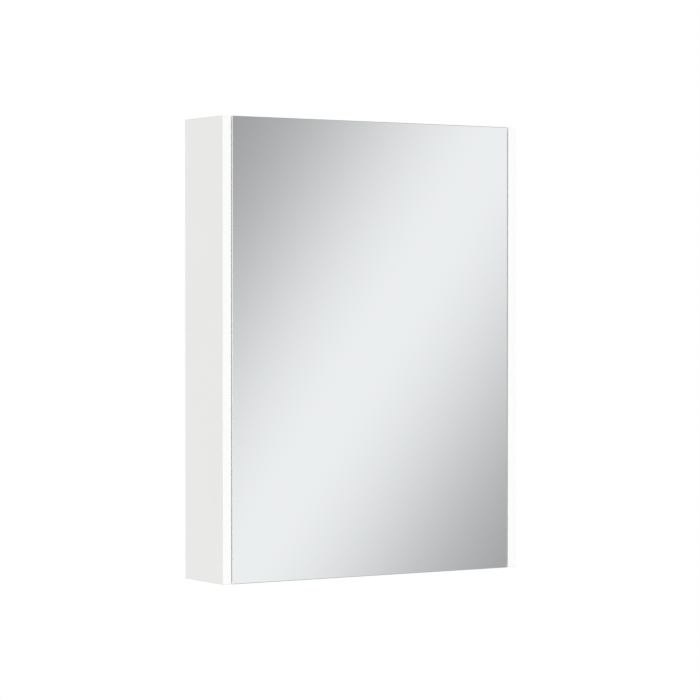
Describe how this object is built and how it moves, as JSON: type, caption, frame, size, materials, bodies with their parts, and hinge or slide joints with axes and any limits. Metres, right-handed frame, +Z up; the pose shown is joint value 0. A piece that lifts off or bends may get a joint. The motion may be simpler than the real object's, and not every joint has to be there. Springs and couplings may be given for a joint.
{
  "type": "mirror cabinet",
  "caption": "Wall-hung white mirror cabinet with one full-height frameless mirror door set between its side panels, on concealed cup hinges.",
  "frame": {"origin": "middle of the cabinet's footprint in width and depth, at the lower edge of its side panels", "axes": "+X to the right seen from the front, +Y back to the wall, +Z up"},
  "size_m": [0.55, 0.12, 0.72],
  "materials": {
    "white_board": "white melamine-faced board, satin",
    "white_hardboard": "white lacquered hardboard",
    "mirror": "silvered float glass",
    "clear_glass": "clear float glass with ground edges",
    "clear_plastic": "clear soft plastic",
    "white_plastic": "white moulded plastic",
    "nickel": "nickel-plated steel",
    "zinc": "zinc-plated steel",
    "beech": "fluted beech",
    "tape": "white foam mirror tape"
  },
  "bodies": {
    "cabinet": {"left_side_panel": "white_board", "right_side_panel": "white_board", "top_panel": "white_board", "bottom_panel": "white_board", "back_panel": "white_hardboard", "shelf_upper": "clear_glass", "shelf_lower": "clear_glass", "shelf_pins": "nickel", "shelf_pads": "clear_plastic", "cam_housings": "zinc", "cam_bolts": "zinc", "dowels": "beech", "hanger_housing_left": "white_plastic", "hanger_housing_right": "white_plastic", "hanger_hook_left": "zinc", "hanger_hook_right": "zinc", "hanger_screws": "zinc", "hanger_fixing_screws": "zinc", "wall_plate_left": "zinc", "wall_plate_right": "zinc", "hinge_plate_upper": "nickel", "hinge_plate_lower": "nickel", "hinge_plate_screws": "zinc", "hinge_arm_upper": "nickel", "hinge_arm_lower": "nickel", "hinge_arm_screws": "zinc", "arm_pins": "zinc"},
    "centre_links": {"centre_link_upper": "nickel", "centre_link_lower": "nickel"},
    "door": {"door_board": "white_board", "mirror_glass": "mirror", "mirror_tape_strips": "tape", "door_bumpers": "clear_plastic", "hinge_cup_upper": "nickel", "hinge_cup_lower": "nickel", "cup_pins": "zinc", "cup_screws": "zinc"},
    "side_links": {"side_links_upper": "nickel", "side_links_lower": "nickel"}
  },
  "joints": [
    {"name": "centre_link_pivot", "type": "hinge", "parent": "cabinet", "child": "centre_links", "pos_m": [0.222, -0.0333, 0.36], "axis": [0, 0, -1], "range_deg": [0, 26.3]},
    {"name": "door_hinge", "type": "hinge", "parent": "centre_links", "child": "door", "pos_m": [0.2439, -0.0483, 0.36], "axis": [0, 0, 1], "range_deg": [0, 121.3]},
    {"name": "side_link_pivot", "type": "hinge", "parent": "door", "child": "side_links", "pos_m": [0.2446, -0.0443, 0.36], "axis": [0, 0, -1], "range_deg": [0, 131.3]}
  ],
  "couplings": [
    {"joint": "centre_link_pivot", "follows": "door_hinge", "ratio": 0.2168},
    {"joint": "side_link_pivot", "follows": "door_hinge", "ratio": 1.0824}
  ]
}
